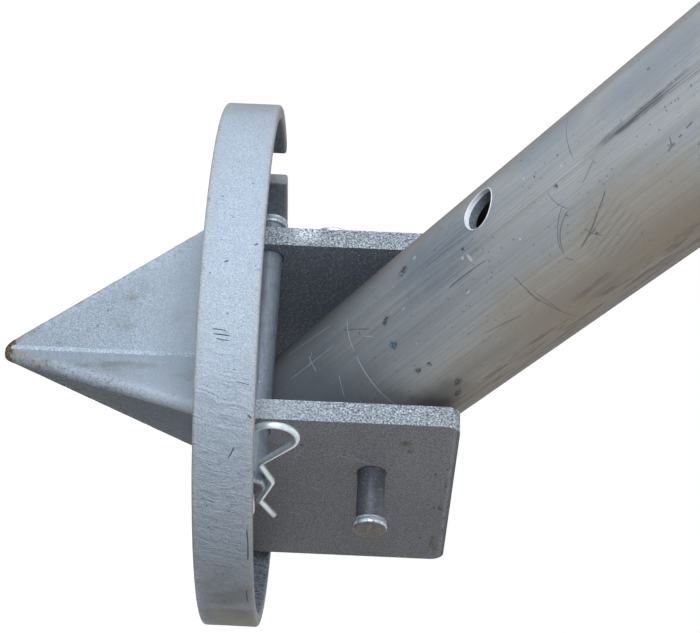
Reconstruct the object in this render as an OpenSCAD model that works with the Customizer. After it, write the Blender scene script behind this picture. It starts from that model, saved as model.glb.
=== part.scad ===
// Swivelling ground foot of a tripod crane leg, with the lower end of the telescopic leg.
// Upright as it stands in use: +Z runs up the foot axis, the spike points down.
// The origin lies on the foot axis, in the plane of the rim's lower edge.
// +X is the side that the leg leans to. The pins run along Y.

/* [Ground rim] */
// Outside diameter of the rolled rim bar
rim_od = 290; // [280:1:330]
// Height of the rim bar along the foot axis
rim_height = 30; // [27:0.5:34]
// Thickness of the rim bar
rim_thickness = 8; // [5:0.5:9]
// Open butt gap between the two ends of the rolled bar
rim_gap = 29; // [6:0.5:40]
// Turn of the gap's middle from the -Y side towards the leg
rim_gap_turn = 2; // [-6:0.5:6]
// Radius on the long edges of the rim bar
rim_edge_radius = 1.8; // [0.5:0.1:2.4]

/* [Base disc] */
// Thickness of the base disc
disc_thickness = 6; // [4:0.5:8]
// Height of the disc's underside above the rim's lower edge
disc_recess = 4; // [2:0.5:5]
// Fit-up gap between the disc and the rim
disc_fit_gap = 0.2; // [0.1:0.1:0.5]

/* [Spike] */
// Length of the spike below the rim's lower edge
spike_length = 120; // [90:1:150]
// Reach of each blade from the foot axis, at the rim's lower edge
blade_reach = 85; // [60:1:100]
// Thickness of the spike blades
blade_thickness = 8; // [6:0.5:10]
// Reach of each blade at the blunt tip
tip_reach = 4; // [4:0.1:5.8]
// Turn of the first blade from the +X side
blade_turn = 50; // [40:1:60]

/* [Ears] */
// Thickness of the two ears
ear_thickness = 12; // [8:0.5:14]
// Clear width between the two ears
ear_spacing = 100; // [96:0.5:104]
// Reach of the ears above the rim's upper edge
ear_rise = 103; // [96:1:112]
// Distance of the ears' leg-side edge from the foot axis
ear_front = 46; // [43:0.5:52]
// Room between the ears' back edge and the rim's inner radius
ear_back_gap = 27; // [25:0.5:70]
// Corner radius at the free end of the ears
ear_corner = 8; // [2:0.5:16]

/* [Pins] */
// Diameter of the pivot pin and of the stop pin
pin_diameter = 15; // [13:0.1:16]
// Radial clearance of the pins in their holes
pin_clearance = 0.1; // [0.05:0.01:0.1]
// Room between the stop pin's end and the rim's inner radius
pin_end_gap = 41; // [36:0.5:48]
// Diameter of the upset pin head
head_diameter = 19; // [17.5:0.1:24]
// Height of the upset pin head
head_height = 5; // [3:0.1:8]
// Chamfer on the pin ends and round the holes
pin_chamfer = 1.2; // [0.5:0.1:1.8]
// Height of the pivot axis above the rim's lower edge
pivot_height = 88; // [86:0.5:94]
// Offset of the pivot axis from the foot axis, away from the leg side
pivot_offset = 7.5; // [4:0.5:12]
// Height of the stop pin axis above the rim's lower edge
stop_height = 25.5; // [24:0.5:28]
// Distance of the stop pin axis from the foot axis, on the leg side
stop_reach = 32.5; // [31:0.5:34]
// How far the stop pin head stands off its ear
stop_pin_play = 8; // [1:0.5:16]

/* [Spring clips] */
// Wire diameter of the two spring clips
wire_diameter = 3.5; // [2.5:0.1:4]
// Radial clearance of the clip's straight leg in its hole
wire_clearance = 0.3; // [0.2:0.05:0.5]
// Distance of the stop pin's clip hole from its end
clip_inset = 5.5; // [5:0.1:8]
// Distance of the pivot pin's clip hole from its end
pivot_clip_inset = 9.5; // [5:0.1:12]
// Clearance between the pivot pin's clip and its ear
clip_ear_gap = 1.25; // [0.75:0.25:24]
// Length of the clip's straight leg on the open side of the pin
clip_tail = 36; // [30:1:50]
// Distance of the eye's centre from the pin's axis
eye_distance = 45; // [40:0.5:52]
// Centreline radius of the clip's eye
eye_radius = 11.6; // [10:0.1:13]
// Turn of the pivot pin's clip about the pin
pivot_clip_turn = 21.5; // [0:0.5:40]
// Turn of the stop pin's clip about the pin
stop_clip_turn = 1; // [0:0.5:20]

/* [Leg] */
// Outside diameter of the leg tube
leg_od = 88.9; // [84:0.1:92]
// Wall of the leg tube
leg_wall = 2.6; // [2:0.1:5]
// Tilt of the leg from the foot axis
leg_tilt = 58; // [50:0.5:66]
// Length of the leg tube below the pivot
leg_below = 58; // [55:0.5:60]
// Length of the leg tube above the pivot
leg_above = 410; // [320:1:440]
// Distance of the lock hole above the pivot
lock_hole_distance = 157; // [150:1:200]
// Diameter of the lock hole through both tubes
lock_hole_diameter = 22; // [14:0.5:26]
// Turn of the lock holes about the leg, from square to the pivot pin
lock_hole_turn = -2.7; // [-6:0.1:6]
// Radial clearance between the leg tube and the inner tube
slide_clearance = 0.3; // [0.25:0.05:0.6]
// Wall of the inner tube
inner_wall = 4.2; // [3:0.1:7]
// Length of the inner tube
inner_length = 400; // [300:1:440]
// Length of the inner tube below its lowest lock hole
inner_below_hole = 40; // [25:1:60]
// Spacing of the lock holes along the inner tube
lock_hole_pitch = 100; // [90:1:125]

/* [Welds] */
// Leg length of the fillet welds along the ears
ear_weld_leg = 5; // [3:0.5:6]
// Length by which each ear weld stops short of the ear's edges
weld_stop = 5; // [2:0.5:12]
// Leg length of the fillet weld round the rim
rim_weld_leg = 5; // [3:0.5:6]
// Leg length of the fillet welds between the spike blades
valley_weld_leg = 3; // [2:0.5:4]
// Leg length of the fillet welds along the blades' base
base_weld_leg = 4; // [2:0.5:5]

/* [Hidden] */

$fn = 96;
steel_grey = "#8b9098";
dark_steel = "#5a606a";
zinc = "#c9ced4";
aluminium = "#a3a6a8";
weld_grey = "#7d8086";

// Small overshoot of every cutting tool past the face that it cuts
cut_over = 1;

rim_r = rim_od / 2;
rim_inner_r = rim_r - rim_thickness;
disc_top = disc_recess + disc_thickness;
disc_r = rim_inner_r - disc_fit_gap;

ear_top = rim_height + ear_rise;
ear_inner_face = ear_spacing / 2;
ear_outer_face = ear_inner_face + ear_thickness;

ear_back = rim_inner_r - ear_back_gap;

pin_hole_d = pin_diameter + 2 * pin_clearance;
head_edge = head_height * 0.3;
pivot_x = -pivot_offset;
stop_x = stop_reach;

blade_angles = [blade_turn, blade_turn + 120, blade_turn + 240];
valley_angles = [blade_turn + 60, blade_turn + 180, blade_turn + 300];

leg_id = leg_od - 2 * leg_wall;
inner_od = leg_id - 2 * slide_clearance;
inner_id = inner_od - 2 * inner_wall;
inner_start = lock_hole_distance - inner_below_hole;

wire_r = wire_diameter / 2;
clip_hole_d = wire_diameter + 2 * wire_clearance;

// Each pin's length below its head, and how far the pivot pin's head stands off its ear
pin_length = rim_inner_r - pin_end_gap + ear_outer_face + stop_pin_play;
pivot_pin_play = pin_length - pivot_clip_inset - wire_r - clip_ear_gap - 2 * ear_outer_face;

// Sides of the swept clip wire, and points along each of its bends
wire_sides = 10;
eye_steps = 20;
bend_steps = 5;

// A bar section with rounded corners, from corner low to corner high
module rounded_section(low, high, r) {
    translate([low[0] + r, low[1]])
        square([high[0] - low[0] - 2 * r, high[1] - low[1]]);
    translate([low[0], low[1] + r])
        square([high[0] - low[0], high[1] - low[1] - 2 * r]);
    for (x = [low[0] + r, high[0] - r], y = [low[1] + r, high[1] - r])
        translate([x, y]) circle(r, $fn = 48);
}

// The rim: a flat bar rolled to a ring, its ends left open on the -Y side
module ground_rim() {
    color(steel_grey)
    difference() {
        rotate_extrude($fn = 180)
            rounded_section([rim_inner_r, 0], [rim_r, rim_height], rim_edge_radius);
        rotate([0, 0, rim_gap_turn]) translate([-rim_gap / 2, -rim_r - cut_over, -cut_over])
            cube([rim_gap, rim_thickness * 2 + cut_over, rim_height + 2 * cut_over]);
    }
}

// The disc that closes the rim and carries the ears and the spike
module base_disc() {
    color(steel_grey)
    translate([0, 0, disc_recess]) cylinder(h = disc_thickness, r = disc_r, $fn = 180);
}

// One spike blade, its inner edge mitred to meet the other two on the foot axis
module spike_blade(angle) {
    half = blade_thickness / 2;
    mitre = half / tan(60);
    color(steel_grey)
    rotate([0, 0, angle])
    intersection() {
        rotate([90, 0, 0])
            linear_extrude(blade_thickness, center = true)
                polygon([
                    [0, disc_recess],
                    [blade_reach, disc_recess],
                    [blade_reach, 0],
                    [tip_reach, -spike_length],
                    [0, -spike_length]
                ]);
        translate([0, 0, -spike_length])
            linear_extrude(spike_length + disc_recess)
                polygon([
                    [0, 0],
                    [mitre, half],
                    [blade_reach, half],
                    [blade_reach, -half],
                    [mitre, -half]
                ]);
    }
}

module spike_blade_front() {
    spike_blade(blade_angles[0]);
}

module spike_blade_back() {
    spike_blade(blade_angles[1]);
}

module spike_blade_far() {
    spike_blade(blade_angles[2]);
}

// Side view of an ear: square at the disc, rounded at its free end
module ear_outline() {
    length = ear_front + ear_back;
    height = ear_top - disc_top;
    translate([-ear_back, disc_top]) {
        square([length, height - ear_corner]);
        translate([ear_corner, 0]) square([length - 2 * ear_corner, height]);
        for (x = [ear_corner, length - ear_corner])
            translate([x, height - ear_corner]) circle(ear_corner);
    }
}

// A through hole along Y with a chamfer at the ear's outer face
module pin_hole(x, z, outer_face, side) {
    translate([x, 0, z])
    rotate([-90 * side, 0, 0]) {
        cylinder(h = outer_face + cut_over, d = pin_hole_d);
        translate([0, 0, outer_face - pin_chamfer / 2])
            cylinder(h = pin_chamfer, d1 = pin_hole_d, d2 = pin_hole_d + 2 * pin_chamfer);
    }
}

// One ear, on the +Y side for side = 1 and on the -Y side for side = -1
module ear(side) {
    color(steel_grey)
    difference() {
        translate([0, side * (ear_inner_face + ear_thickness / 2), 0])
            rotate([90, 0, 0])
                linear_extrude(ear_thickness, center = true) ear_outline();
        pin_hole(pivot_x, pivot_height, ear_outer_face, side);
        pin_hole(stop_x, stop_height, ear_outer_face, side);
    }
}

module near_ear() {
    ear(1);
}

module far_ear() {
    ear(-1);
}

// The fillet weld between the disc and the rim, open at the rim's gap
module rim_weld() {
    color(weld_grey)
    difference() {
        rotate_extrude($fn = 180)
            polygon([
                [rim_inner_r - rim_weld_leg, disc_top],
                [rim_inner_r, disc_top],
                [rim_inner_r, disc_top + rim_weld_leg]
            ]);
        rotate([0, 0, rim_gap_turn]) translate([-rim_gap / 2, -rim_r, disc_top - cut_over])
            cube([rim_gap, rim_thickness + 3 * rim_weld_leg, rim_weld_leg + 2 * cut_over]);
    }
}

// A straight fillet weld along X, its corner on the origin, its legs along +Y and +Z
module fillet_weld(length, leg) {
    rotate([90, 0, 90])
        linear_extrude(length) polygon([[0, 0], [leg, 0], [0, leg]]);
}

// The two fillet welds along the foot of one ear
module ear_weld(side) {
    start = -ear_back + weld_stop;
    length = ear_back + ear_front - 2 * weld_stop;
    color(weld_grey)
    translate([start, 0, disc_top]) {
        translate([0, side * ear_outer_face, 0])
            on_side(side) fillet_weld(length, ear_weld_leg);
        translate([0, side * ear_inner_face, 0])
            on_side(-side) fillet_weld(length, ear_weld_leg);
    }
}

// Mirrors its children to the -Y side where side is -1
module on_side(side) {
    if (side < 0) mirror([0, 1, 0]) children();
    else children();
}

module near_ear_weld() {
    ear_weld(1);
}

module far_ear_weld() {
    ear_weld(-1);
}

// The three fillet welds in the valleys between the blades
module blade_valley_welds() {
    corner = blade_thickness / 2 / sin(60);
    taper = spike_length / (blade_reach - tip_reach);
    bottom = -spike_length + (corner + valley_weld_leg - tip_reach) * taper;
    color(weld_grey)
    for (angle = valley_angles)
        rotate([0, 0, angle])
            translate([corner, 0, bottom])
                linear_extrude(disc_recess - base_weld_leg - bottom)
                    polygon([
                        [0, 0],
                        [valley_weld_leg * cos(60), valley_weld_leg * sin(60)],
                        [valley_weld_leg * cos(60), -valley_weld_leg * sin(60)]
                    ]);
}

// The fillet welds along both sides of each blade's base, under the disc
module blade_base_welds() {
    start = blade_thickness;
    color(weld_grey)
    for (angle = blade_angles, side = [1, -1])
        rotate([0, 0, angle])
            translate([start, side * blade_thickness / 2, disc_recess])
                mirror([0, 0, 1])
                    on_side(side)
                        fillet_weld(blade_reach - weld_stop - start, base_weld_leg);
}

// A headed pin along +Z, its head's underside on the origin, with its clip hole
module headed_pin(inset, clip_turn) {
    difference() {
        union() {
            cylinder(h = pin_length - pin_chamfer, d = pin_diameter);
            translate([0, 0, pin_length - pin_chamfer])
                cylinder(h = pin_chamfer, d1 = pin_diameter, d2 = pin_diameter - 2 * pin_chamfer);
            translate([0, 0, -head_height]) {
                cylinder(h = head_edge, d1 = head_diameter - 2 * head_edge, d2 = head_diameter);
                translate([0, 0, head_edge])
                    cylinder(h = head_height - head_edge, d = head_diameter);
            }
        }
        translate([0, 0, pin_length - inset])
            rotate([0, 90, clip_turn])
                cylinder(h = pin_diameter + 2 * cut_over, d = clip_hole_d, center = true, $fn = 32);
    }
}

// The pin that the leg turns on, drawn out towards +Y as far as its clip lets it
module pivot_pin() {
    color(dark_steel)
    translate([pivot_x, ear_outer_face + pivot_pin_play, pivot_height])
        rotate([90, 0, 0]) headed_pin(pivot_clip_inset, -pivot_clip_turn);
}

// The pin that stops the leg, put in from the -Y side
module stop_pin() {
    color(dark_steel)
    translate([stop_x, -ear_outer_face - stop_pin_play, stop_height])
        rotate([-90, 0, 0]) headed_pin(clip_inset, -stop_clip_turn);
}

// Points on the arc round a centre, by angle
function arc_points(centre, r, from, to, steps) = [
    for (i = [0 : steps])
        let (a = from + (to - from) * i / steps)
        centre + r * [cos(a), sin(a)]
];

function unit(v) = v / norm(v);
function cross_2d(a, b) = a[0] * b[1] - a[1] * b[0];

// Points of the round bend that replaces the corner b of the path a, b, c
function bend(a, b, c, r) =
    let (
        into = unit(b - a),
        out = unit(c - b),
        turn = acos(into * out),
        back = r * tan(turn / 2),
        hand = sign(cross_2d(into, out)),
        start = b - into * back,
        centre = start + hand * r * [-into[1], into[0]],
        first = atan2(start[1] - centre[1], start[0] - centre[0])
    )
    arc_points(centre, r, first, first + hand * turn, bend_steps);

// The clip's centreline: x runs along the straight leg towards the eye, y to the wavy leg
eye_centre = [eye_distance, eye_radius];
slant = 40;
eye_end = eye_centre + eye_radius * [-sin(slant), cos(slant)];
waist_in = [17.4, 4.3];
belly = [-1, pin_diameter / 2 + wire_r + 1.8];
waist_out = [-22.5, 4.1];
clip_tip = [-38.8, 11.9];
clip_path = concat(
    [[-clip_tail, 0]],
    arc_points(eye_centre, eye_radius, -90, 90 + slant, eye_steps),
    bend(eye_end, waist_in, belly, 4),
    bend(waist_in, belly, waist_out, 6),
    bend(belly, waist_out, clip_tip, 4),
    [clip_tip]
);

// Direction of the path at point i
function heading(path, i) =
    unit(path[min(i + 1, len(path) - 1)] - path[max(i - 1, 0)]);

// Round wire along a flat path, as one closed tube
module wire(path, r) {
    rings = len(path);
    points = [
        for (i = [0 : rings - 1], k = [0 : wire_sides - 1])
            let (
                along = heading(path, i),
                a = 360 * k / wire_sides,
                p = path[i] + r * cos(a) * [-along[1], along[0]]
            )
            [p[0], p[1], r * sin(a)]
    ];
    sides = [
        for (i = [0 : rings - 2], k = [0 : wire_sides - 1])
            let (next = (k + 1) % wire_sides)
            for (face = [
                [i * wire_sides + k, (i + 1) * wire_sides + k, i * wire_sides + next],
                [i * wire_sides + next, (i + 1) * wire_sides + k, (i + 1) * wire_sides + next]
            ]) face
    ];
    first_cap = [for (k = [0 : wire_sides - 1]) k];
    last_cap = [for (k = [wire_sides - 1 : -1 : 0]) (rings - 1) * wire_sides + k];
    polyhedron(points, concat(sides, [first_cap], [last_cap]));
}

// The spring clip on the far end of the pivot pin, its eye up beside the ear
module pivot_pin_clip() {
    color(zinc)
    translate([pivot_x, ear_outer_face + pivot_pin_play - pin_length + pivot_clip_inset, pivot_height])
        rotate([-90, 0, 0]) rotate([0, 0, pivot_clip_turn]) wire(clip_path, wire_r);
}

// The spring clip on the near end of the stop pin
module stop_pin_clip() {
    color(zinc)
    translate([stop_x, -ear_outer_face - stop_pin_play + pin_length - clip_inset, stop_height])
        rotate([90, 0, 0]) rotate([0, 0, stop_clip_turn]) wire(clip_path, wire_r);
}

// Puts its children in the leg's frame: +Z up the leg from the pivot, Y along the pins
module on_leg() {
    translate([pivot_x, 0, pivot_height]) rotate([0, leg_tilt, 0]) children();
}

// A lock hole straight through the leg
module lock_hole(distance) {
    translate([0, 0, distance])
        rotate([0, 90, lock_hole_turn])
            cylinder(h = leg_od + 2 * cut_over, d = lock_hole_diameter, center = true);
}

// The leg's outer tube, pierced by the pivot pin and the lock hole
module leg_tube() {
    color(aluminium)
    on_leg()
    difference() {
        translate([0, 0, -leg_below]) cylinder(h = leg_below + leg_above, d = leg_od, $fn = 180);
        translate([0, 0, -leg_below - cut_over])
            cylinder(h = leg_below + leg_above + 2 * cut_over, d = leg_id, $fn = 180);
        rotate([90, 0, 0]) cylinder(h = leg_od + 2 * cut_over, d = pin_hole_d, center = true);
        lock_hole(lock_hole_distance);
    }
}

// The inner tube that slides in the leg tube, with its row of lock holes
module inner_tube() {
    color(aluminium)
    on_leg()
    difference() {
        translate([0, 0, inner_start]) cylinder(h = inner_length, d = inner_od, $fn = 180);
        translate([0, 0, inner_start - cut_over])
            cylinder(h = inner_length + 2 * cut_over, d = inner_id, $fn = 180);
        for (i = [0 : floor((inner_length - 2 * inner_below_hole) / lock_hole_pitch)])
            lock_hole(lock_hole_distance + i * lock_hole_pitch);
    }
}

ground_rim();
base_disc();
spike_blade_front();
spike_blade_back();
spike_blade_far();
near_ear();
far_ear();
rim_weld();
near_ear_weld();
far_ear_weld();
blade_valley_welds();
blade_base_welds();
pivot_pin();
pivot_pin_clip();
stop_pin();
stop_pin_clip();
leg_tube();
inner_tube();
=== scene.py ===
from math import asin, atan2, cos, degrees, hypot, pi, radians, sin, sqrt, tan

import bmesh
import bpy
from mathutils import Matrix, Vector, noise


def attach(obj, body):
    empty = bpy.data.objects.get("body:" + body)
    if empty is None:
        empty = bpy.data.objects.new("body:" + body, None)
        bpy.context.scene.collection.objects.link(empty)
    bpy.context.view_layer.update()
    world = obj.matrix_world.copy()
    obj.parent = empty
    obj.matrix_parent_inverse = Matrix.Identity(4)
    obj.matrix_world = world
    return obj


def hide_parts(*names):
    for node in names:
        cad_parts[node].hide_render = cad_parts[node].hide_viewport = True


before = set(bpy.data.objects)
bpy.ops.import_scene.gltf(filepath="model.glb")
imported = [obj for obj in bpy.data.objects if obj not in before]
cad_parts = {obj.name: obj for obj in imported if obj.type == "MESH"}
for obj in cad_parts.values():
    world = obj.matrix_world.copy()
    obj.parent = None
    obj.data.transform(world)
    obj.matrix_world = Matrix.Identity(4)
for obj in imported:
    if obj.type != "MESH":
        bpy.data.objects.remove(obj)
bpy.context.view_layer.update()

MM = 0.001
scene = bpy.context.scene

# Sizes of the CAD part, in millimetres
RIM_R, RIM_IN, RIM_H, RIM_EDGE, RIM_GAP = 145.0, 137.0, 30.0, 1.8, 29.0
RIM_MID, GAP_TURN = (RIM_R + RIM_IN) / 2, radians(2.0)
DISC_LOW, DISC_TOP = 4.0, 10.0
SPIKE, REACH, TIP, BLADE = 120.0, 85.0, 4.0, 8.0
EAR_IN, EAR_OUT, EAR_TOP, EAR_FRONT, EAR_BACK, EAR_R = 50.0, 62.0, 133.0, 46.0, 110.0, 8.0
PLATE_WELD, VALLEY_WELD, BLADE_WELD = 5.0, 1.9, 4.0
PIN_R, PIN_LEN, HEAD_H, PIN_HOLE_R, CLIP_HOLE_R = 7.5, 166.0, 5.0, 7.6, 2.05
PIVOT, STOP = (-7.5, 88.0), (32.5, 25.5)
PIVOT_HEAD_Y, STOP_HEAD_Y = 91.5, -70.0
PIVOT_CLIP_INSET, STOP_CLIP_INSET, CLIP_TAIL, WIRE_R = 9.5, 5.5, 36.0, 1.75
PIVOT_CLIP_TURN, STOP_CLIP_TURN = 21.5, 1.0
LEG_R, LEG_IN, INNER_R, INNER_IN, LEG_TILT = 44.45, 41.85, 41.55, 37.35, 58.0
LEG_LOW, LEG_HIGH, INNER_LOW, INNER_HIGH = -58.0, 410.0, 117.0, 517.0
LOCK_R, LOCK_S, LOCK_PITCH, LOCK_TURN = 11.0, 157.0, 100.0, -2.7
# Each blade's angle, and how much further than in the CAD it reaches
BLADES = {"spike_blade_front": (50.0, 0.5), "spike_blade_back": (170.0, -0.6),
          "spike_blade_far": (290.0, 1.3)}
# Roundings of the spike's point and of the ears' edges
POINT_R, EAR_SOFT = 5.0, 1.1


# Node trees
def fresh_tree(owner):
    owner.use_nodes = True
    owner.node_tree.nodes.clear()
    return owner.node_tree


def put(tree, socket, v):
    """Links an output to the socket, or sets its value."""
    if isinstance(v, bpy.types.NodeSocket):
        tree.links.new(v, socket)
    elif socket.type == "RGBA" and len(v) == 3:
        socket.default_value = (*v, 1.0)
    else:
        socket.default_value = v


def add_node(tree, kind, ins=None, **props):
    n = tree.nodes.new("ShaderNode" + kind)
    for k, v in props.items():
        setattr(n, k, v)
    for k, v in (ins or {}).items():
        put(tree, n.inputs[k], v)
    return n


class Tree:
    """Short calls for the nodes of one material. Positions are the piece's own, in millimetres."""

    def __init__(self, name):
        self.mat = bpy.data.materials.new(name)
        self.nt = fresh_tree(self.mat)
        self.p = self.vec("SCALE", self.add("TexCoord").outputs["Object"], 1 / MM, "Scale")
        self.x, self.y, self.z = self.add("SeparateXYZ", {0: self.p}).outputs
        self.col = None
        self.rags = {}

    def add(self, kind, ins=None, **props):
        return add_node(self.nt, kind, ins, **props)

    def m(self, op, a, b=0.0):
        return self.add("Math", {0: a, 1: b}, operation=op).outputs[0]

    def plus(self, a, b):
        return self.m("ADD", a, b)

    def less(self, a, b):
        return self.m("SUBTRACT", a, b)

    def by(self, first, *more):
        for k in more:
            first = self.m("MULTIPLY", first, k)
        return first

    def turned(self, u, v, c, s):
        """The position (u, v) along and across the direction (c, s)."""
        return self.plus(self.by(u, c), self.by(v, s)), self.less(self.by(v, c), self.by(u, s))

    def away(self, u, v):
        """The distance of (u, v) from 0."""
        return self.m("SQRT", self.plus(self.by(u, u), self.by(v, v)))

    def sway(self, noise, size):
        """A noise round 0 instead of 0.5, times size."""
        return self.by(self.less(noise, 0.5), size)

    def vec(self, op, a, b, key=1):
        return self.add("VectorMath", {0: a, key: b}, operation=op).outputs[0]

    def xyz(self, x, y, z):
        return self.add("CombineXYZ", {0: x, 1: y, 2: z}).outputs[0]

    def noise(self, scale, detail=2.0, rough=0.5, at=None, along=1.0, seed=0.0):
        """A noise with about scale grains in a millimetre, drawn out along Z where along is small."""
        at = self.p if at is None else at
        if along != 1.0:
            at = self.vec("MULTIPLY", at, (1, 1, along))
        if seed:
            at = self.vec("ADD", at, (seed * 17.3, seed * 9.1, seed * 5.7))
        return self.add("TexNoise", {"Vector": at, "Scale": scale, "Detail": detail,
                                     "Roughness": rough}).outputs[0]

    def specks(self, scale, low, high, offset=None):
        """Small round spots, one in each cell of a pattern, fading out from radius low to high."""
        at = self.vec("ADD", self.p, offset) if offset else self.p
        cells = self.add("TexVoronoi", {"Vector": at, "Scale": scale}).outputs["Distance"]
        return self.step(cells, low, high, 1.0, 0.0)

    def step(self, v, low, high, a=0.0, b=1.0):
        """a where v is below low, b where it is above high."""
        return self.add("MapRange", {0: v, 1: low, 2: high, 3: a, 4: b},
                        interpolation_type="SMOOTHSTEP").outputs[0]

    def band(self, v, rise, full, fall, end):
        """1 where v is between full and fall, 0 below rise and above end."""
        return self.by(self.step(v, rise, full), self.step(v, fall, end, 1.0, 0.0))

    def mix(self, fac, a, b):
        return self.add("Mix", {0: fac, 6: a, 7: b}, data_type="RGBA").outputs[2]

    def paint(self, mask, colour, amount=None):
        """Lays a colour over the material's colour so far, where the mask is not 0."""
        mask = mask if amount is None else self.by(mask, amount)
        self.col = self.mix(mask, self.col, colour)

    def attr(self, name):
        return self.add("Attribute", attribute_name=name).outputs["Fac"]

    def rag(self, scale):
        """The noise that roughens the outline of every patch of one scale, made once."""
        if scale not in self.rags:
            self.rags[scale] = self.noise(scale, 4, 0.6, seed=2)
        return self.rags[scale]

    def stroke(self, u, v, a, b, width, bend):
        """A scratch from a to b on the surface position (u, v): 1 on its line, 0 off it."""
        du, dv = b[0] - a[0], b[1] - a[1]
        length = hypot(du, dv)
        du, dv = du / length, dv / length
        t, d = self.turned(self.less(u, a[0]), self.less(v, a[1]), du, dv)
        if bend:
            k = self.m("DIVIDE", t, length)
            hump = self.by(k, self.less(1.0, k), 4.0 * bend)
            d = self.less(d, hump)
        line = self.step(self.m("ABSOLUTE", d), width * 0.6, width, 1.0, 0.0)
        ends = self.band(t, 0.0, length * 0.15, length * 0.85, length)
        return self.by(line, ends)

    def scratches(self, u, v, rows, across=1.0):
        """The scratches of a table, broken up by one shared noise. across turns its first measure into mm."""
        gaps = self.step(self.noise(0.9, 2, 0.6, seed=1), 0.1, 0.3)
        lines = self.gather(self.stroke(u, v, (a * across, b), (c * across, d), width, bend)
                            for a, b, c, d, width, bend in rows)
        return self.by(lines, gaps)

    def blob(self, u, v, at, radii, turn=0.0, rag=0.5, scale=0.25, edge=0.35):
        """A ragged patch round a surface position: 1 inside, 0 outside."""
        turn = radians(turn)
        a, b = self.turned(self.less(u, at[0]), self.less(v, at[1]), cos(turn), sin(turn))
        d = self.away(self.m("DIVIDE", a, radii[0]), self.m("DIVIDE", b, radii[1]))
        d = self.plus(d, self.sway(self.rag(scale), 2 * rag))
        return self.step(d, 1.0 - edge, 1.0 + edge, 1.0, 0.0)

    def gather(self, masks):
        """The largest of the masks. Taken from a generator, each one is merged as soon as it is made."""
        out = None
        for k in masks:
            out = k if out is None else self.m("MAXIMUM", out, k)
        return out

    def finish(self, rough, height, depth, metallic=0.0):
        """The material, with bumps of the given depth in millimetres."""
        bump = self.add("Bump", {"Strength": 1.0, "Distance": depth * MM, "Height": height}).outputs[0]
        bsdf = self.add("BsdfPrincipled", {"Base Color": self.col, "Roughness": rough, "Metallic": metallic,
                                           "Normal": bump, "Specular IOR Level": 0.2}).outputs[0]
        self.add("OutputMaterial", {0: bsdf})
        return self.mat


def tint(c, k):
    return tuple(min(1.0, v * k) for v in c)


WARM = (0.3, 0.27, 0.23)

# Scratches: where each starts and ends on its surface, its half width and its bend. Round the rim and up it:
RIM_NICKS = (
    (65.2, 7.4, 66.2, 15.4, 0.26, 0.3), (67.6, 8, 68.4, 16.8, 0.3, 0.2), (69.6, 9.6, 70.6, 16.6, 0.26, -0.2),
    (122, 20.4, 128.2, 17.4, 0.36, 0.4), (31.5, 11.6, 30.8, 13.4, 0.45, 0),
    (21.8, 25.6, 21, 27.2, 0.5, 0), (105.8, 26.6, 107.4, 28.4, 0.5, 0), (166, 27.2, 190, 27.6, 0.36, 0.4),
    (213, 26.7, 227, 27.1, 0.36, -0.3), (225, 13, 229, 15.5, 0.3, 0.6), (236, 11, 243, 27, 0.22, 0.8),
    (150, 4, 152.5, 12, 0.25, 0.3), (90, 20, 91.5, 27, 0.22, 0.2))
# On the near ear, in X and Z:
EAR_SCRATCHES = (
    (11.5, 69, 2.4, 88.5, 0.42, 0.6), (9.6, 77, 0.6, 93, 0.32, 0.4), (13.6, 74, 7.6, 80, 0.3, 0.2),
    (34, 44.6, 21, 49.4, 0.4, 0.3), (-57.3, 42.4, -60.6, 49, 0.42, 0.2), (-54, 49, -58, 55, 0.3, 0.2),
    (-0.9, 95.7, 3.3, 105.6, 0.3, 0.3), (18, 52, 5, 46, 0.28, 0.5), (-26, 55, -31, 60, 0.3, 0.2))
# Patches: middle, radii and lean. Flaking rust and dark specks on the near ear:
EAR_RUST = (
    (26, 105.3, 3.4, 2.8, 90), (18, 107.8, 2.2, 1.6, 0), (-87, 125.4, 9, 1.7, 0),
    (-95, 126.8, 3.6, 1.4, 0), (-44.5, 127.8, 4.2, 1.5, 0), (-18.5, 129.2, 3, 1.2, 10))
EAR_SPECKS = (
    (-6, 123), (-36.8, 131.4), (-56.4, 130.6), (-44.5, 124), (-82.9, 118.3), (0, 128.8), (-71.4, 130.4),
    (20, 50))
# Marks of the leg, by angle round it in degrees and length along it. Dark and light scratches, dark blots:
LEG_DARK = (
    (43.8, 236.5, 51, 226, 0.4, 0.4), (50.5, 227, 63, 203.5, 0.42, 0.9), (65, 219, 54, 213.5, 0.34, 1),
    (60, 212.4, 58.6, 219, 0.34, 0), (21.5, 206, 40.5, 213.6, 0.26, -1.6), (40, 213.5, 61.8, 194, 0.34, -3.4),
    (35, 212.3, 58.6, 194, 0.28, -2.2), (61.8, 194, 66, 196.6, 0.34, -0.4),
    (-21, 224.6, 17.6, 227.8, 0.3, -0.6), (50, 162.3, 76, 162, 0.42, 1),
    (61.5, 161.7, 106, 163, 0.34, 1.4), (66, 165, 92, 163.4, 0.28, 1.2), (32.6, 121, 33.3, 156, 0.34, 0.4),
    (41.8, 280, 48.6, 274, 0.4, 1.6), (-16, 188, -13.5, 191, 0.5, 0), (47.5, 277, 47, 280.5, 0.55, 0),
    (46, 283.5, 45.6, 286, 0.5, 0), (44.6, 289, 43.6, 294, 0.45, 0), (24, 240, 33, 226, 0.24, 0.6),
    (6, 34, 22, 60, 0.26, 0.6), (70, 122, 76, 150, 0.24, 0.4))
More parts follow.
